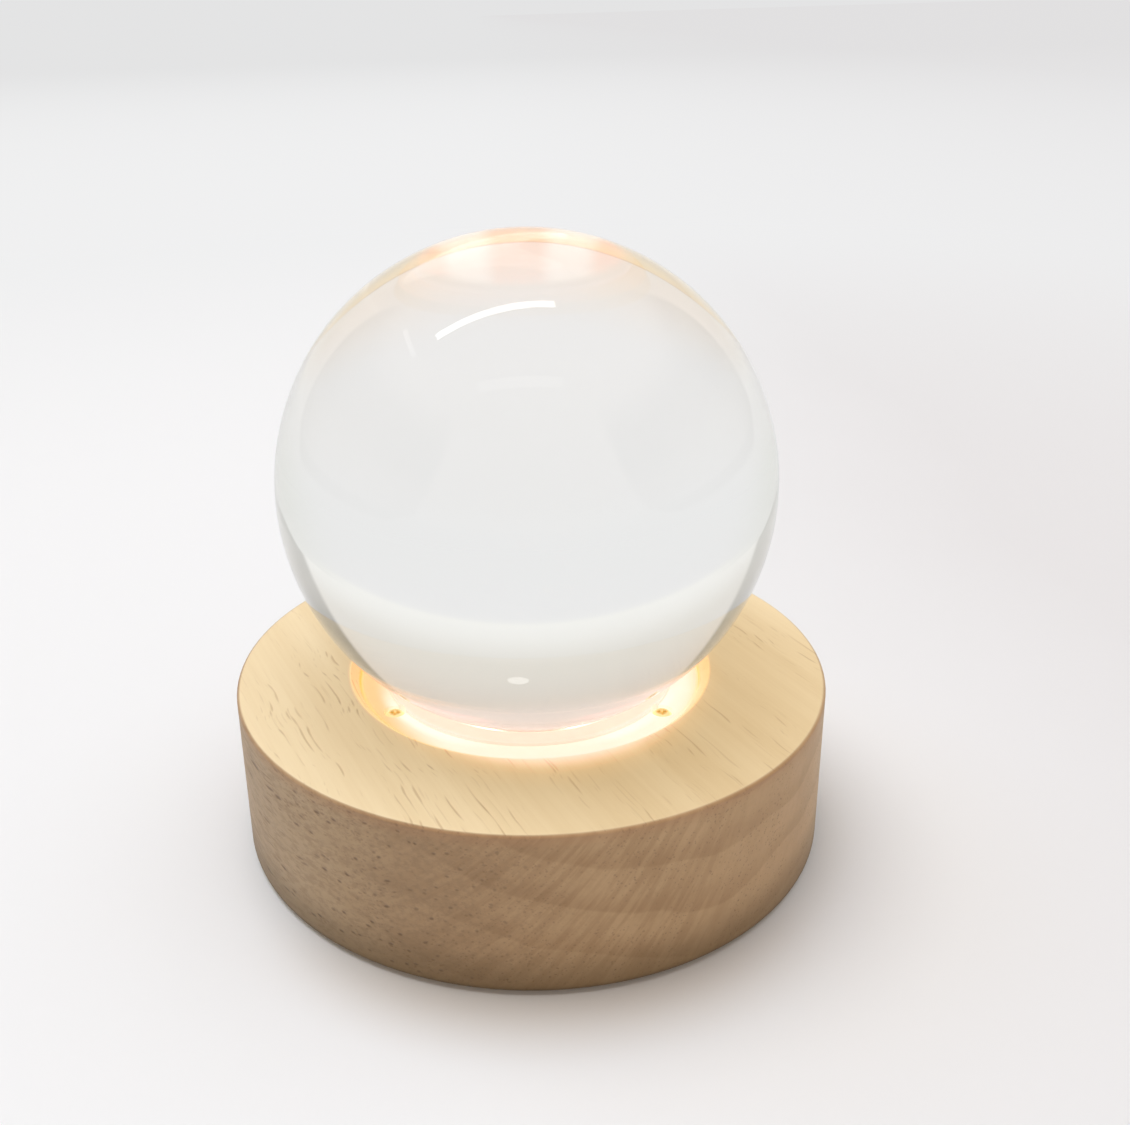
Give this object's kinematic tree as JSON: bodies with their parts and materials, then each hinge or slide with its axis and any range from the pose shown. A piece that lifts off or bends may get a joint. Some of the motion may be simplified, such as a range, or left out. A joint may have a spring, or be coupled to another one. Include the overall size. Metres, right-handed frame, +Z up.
{
  "type": "crystal ball lamp",
  "caption": "Small night light: a solid glass ball rests on the lit ring of a round wooden base with a push button and a power inlet at its back.",
  "frame": {"origin": "on the table, on the turning axis of the base, under its rubber feet", "axes": "+Z up, +Y to the back, where the inlet and the button are, +X to the right seen from the front"},
  "size_m": [0.074, 0.074, 0.0752],
  "materials": {
    "ball_glass": "polished clear glass",
    "base_wood": "pale turned wood, thin satin oil",
    "ring_white": "translucent white, lit from inside",
    "clear_plastic": "clear moulded window",
    "light_board_white": "white coated circuit board",
    "led_yellow": "warm white light-emitting diode",
    "chip_black": "black chip part",
    "chip_tan": "tan ceramic chip part",
    "board_green": "green coated circuit board",
    "inlet_steel": "drawn and plated",
    "contact_gold": "gold-coloured plating",
    "inlet_black": "moulded black",
    "switch_black": "moulded black",
    "switch_white": "moulded white",
    "spring_steel": "drawn wire",
    "button_white": "moulded, fine satin",
    "screw_brass": "turned, bright",
    "screw_zinc": "zinc plated",
    "cover_plastic": "fine moulded grain",
    "foot_rubber": "soft, matt",
    "lead_red": "sleeved lead",
    "lead_black": "sleeved lead",
    "solder_tin": "tin solder"
  },
  "bodies": {
    "base": {"wooden_base": "base_wood", "lamp_ring": "ring_white", "window_disc": "clear_plastic", "light_board": "light_board_white", "bottom_cover": "cover_plastic", "power_board": "board_green", "board_screw_left": "screw_zinc", "board_screw_right": "screw_zinc", "ring_screw_left": "screw_brass", "ring_screw_right": "screw_brass", "ring_screw_rear": "screw_brass", "inlet_shell": "inlet_steel", "inlet_tongue": "inlet_black", "inlet_contacts": "contact_gold", "inlet_resistor_left": "chip_black", "inlet_resistor_right": "chip_black", "power_capacitor": "chip_tan", "switch_housing": "switch_black", "switch_base": "switch_black", "switch_pins": "solder_tin", "latch_wire": "spring_steel", "return_spring": "spring_steel", "red_lead": "lead_red", "black_lead": "lead_black", "lead_solder": "solder_tin", "led_1": "led_yellow", "led_resistor_1": "chip_black", "cover_screw_1": "screw_zinc", "rubber_foot_1": "foot_rubber", "led_2": "led_yellow", "led_resistor_2": "chip_black", "cover_screw_2": "screw_zinc", "rubber_foot_2": "foot_rubber", "led_3": "led_yellow", "led_resistor_3": "chip_black", "cover_screw_3": "screw_zinc", "rubber_foot_3": "foot_rubber", "led_4": "led_yellow", "led_resistor_4": "chip_black", "cover_screw_4": "screw_zinc", "rubber_foot_4": "foot_rubber"},
    "ball": {"crystal_ball": "ball_glass"},
    "button": {"push_button": "button_white", "switch_slider": "switch_white", "contact_clips": "contact_gold"}
  },
  "joints": [
    {"name": "ball_lift", "type": "slide", "parent": "base", "child": "ball", "axis": [0, 0, 1], "range_m": [0, 0.05]},
    {"name": "button_press", "type": "slide", "parent": "base", "child": "button", "axis": [0, -1, 0], "range_m": [0, 0.0015], "stiffness_N_per_m": 400, "springref_m": -0.0025, "deforming": ["return_spring"]}
  ]
}
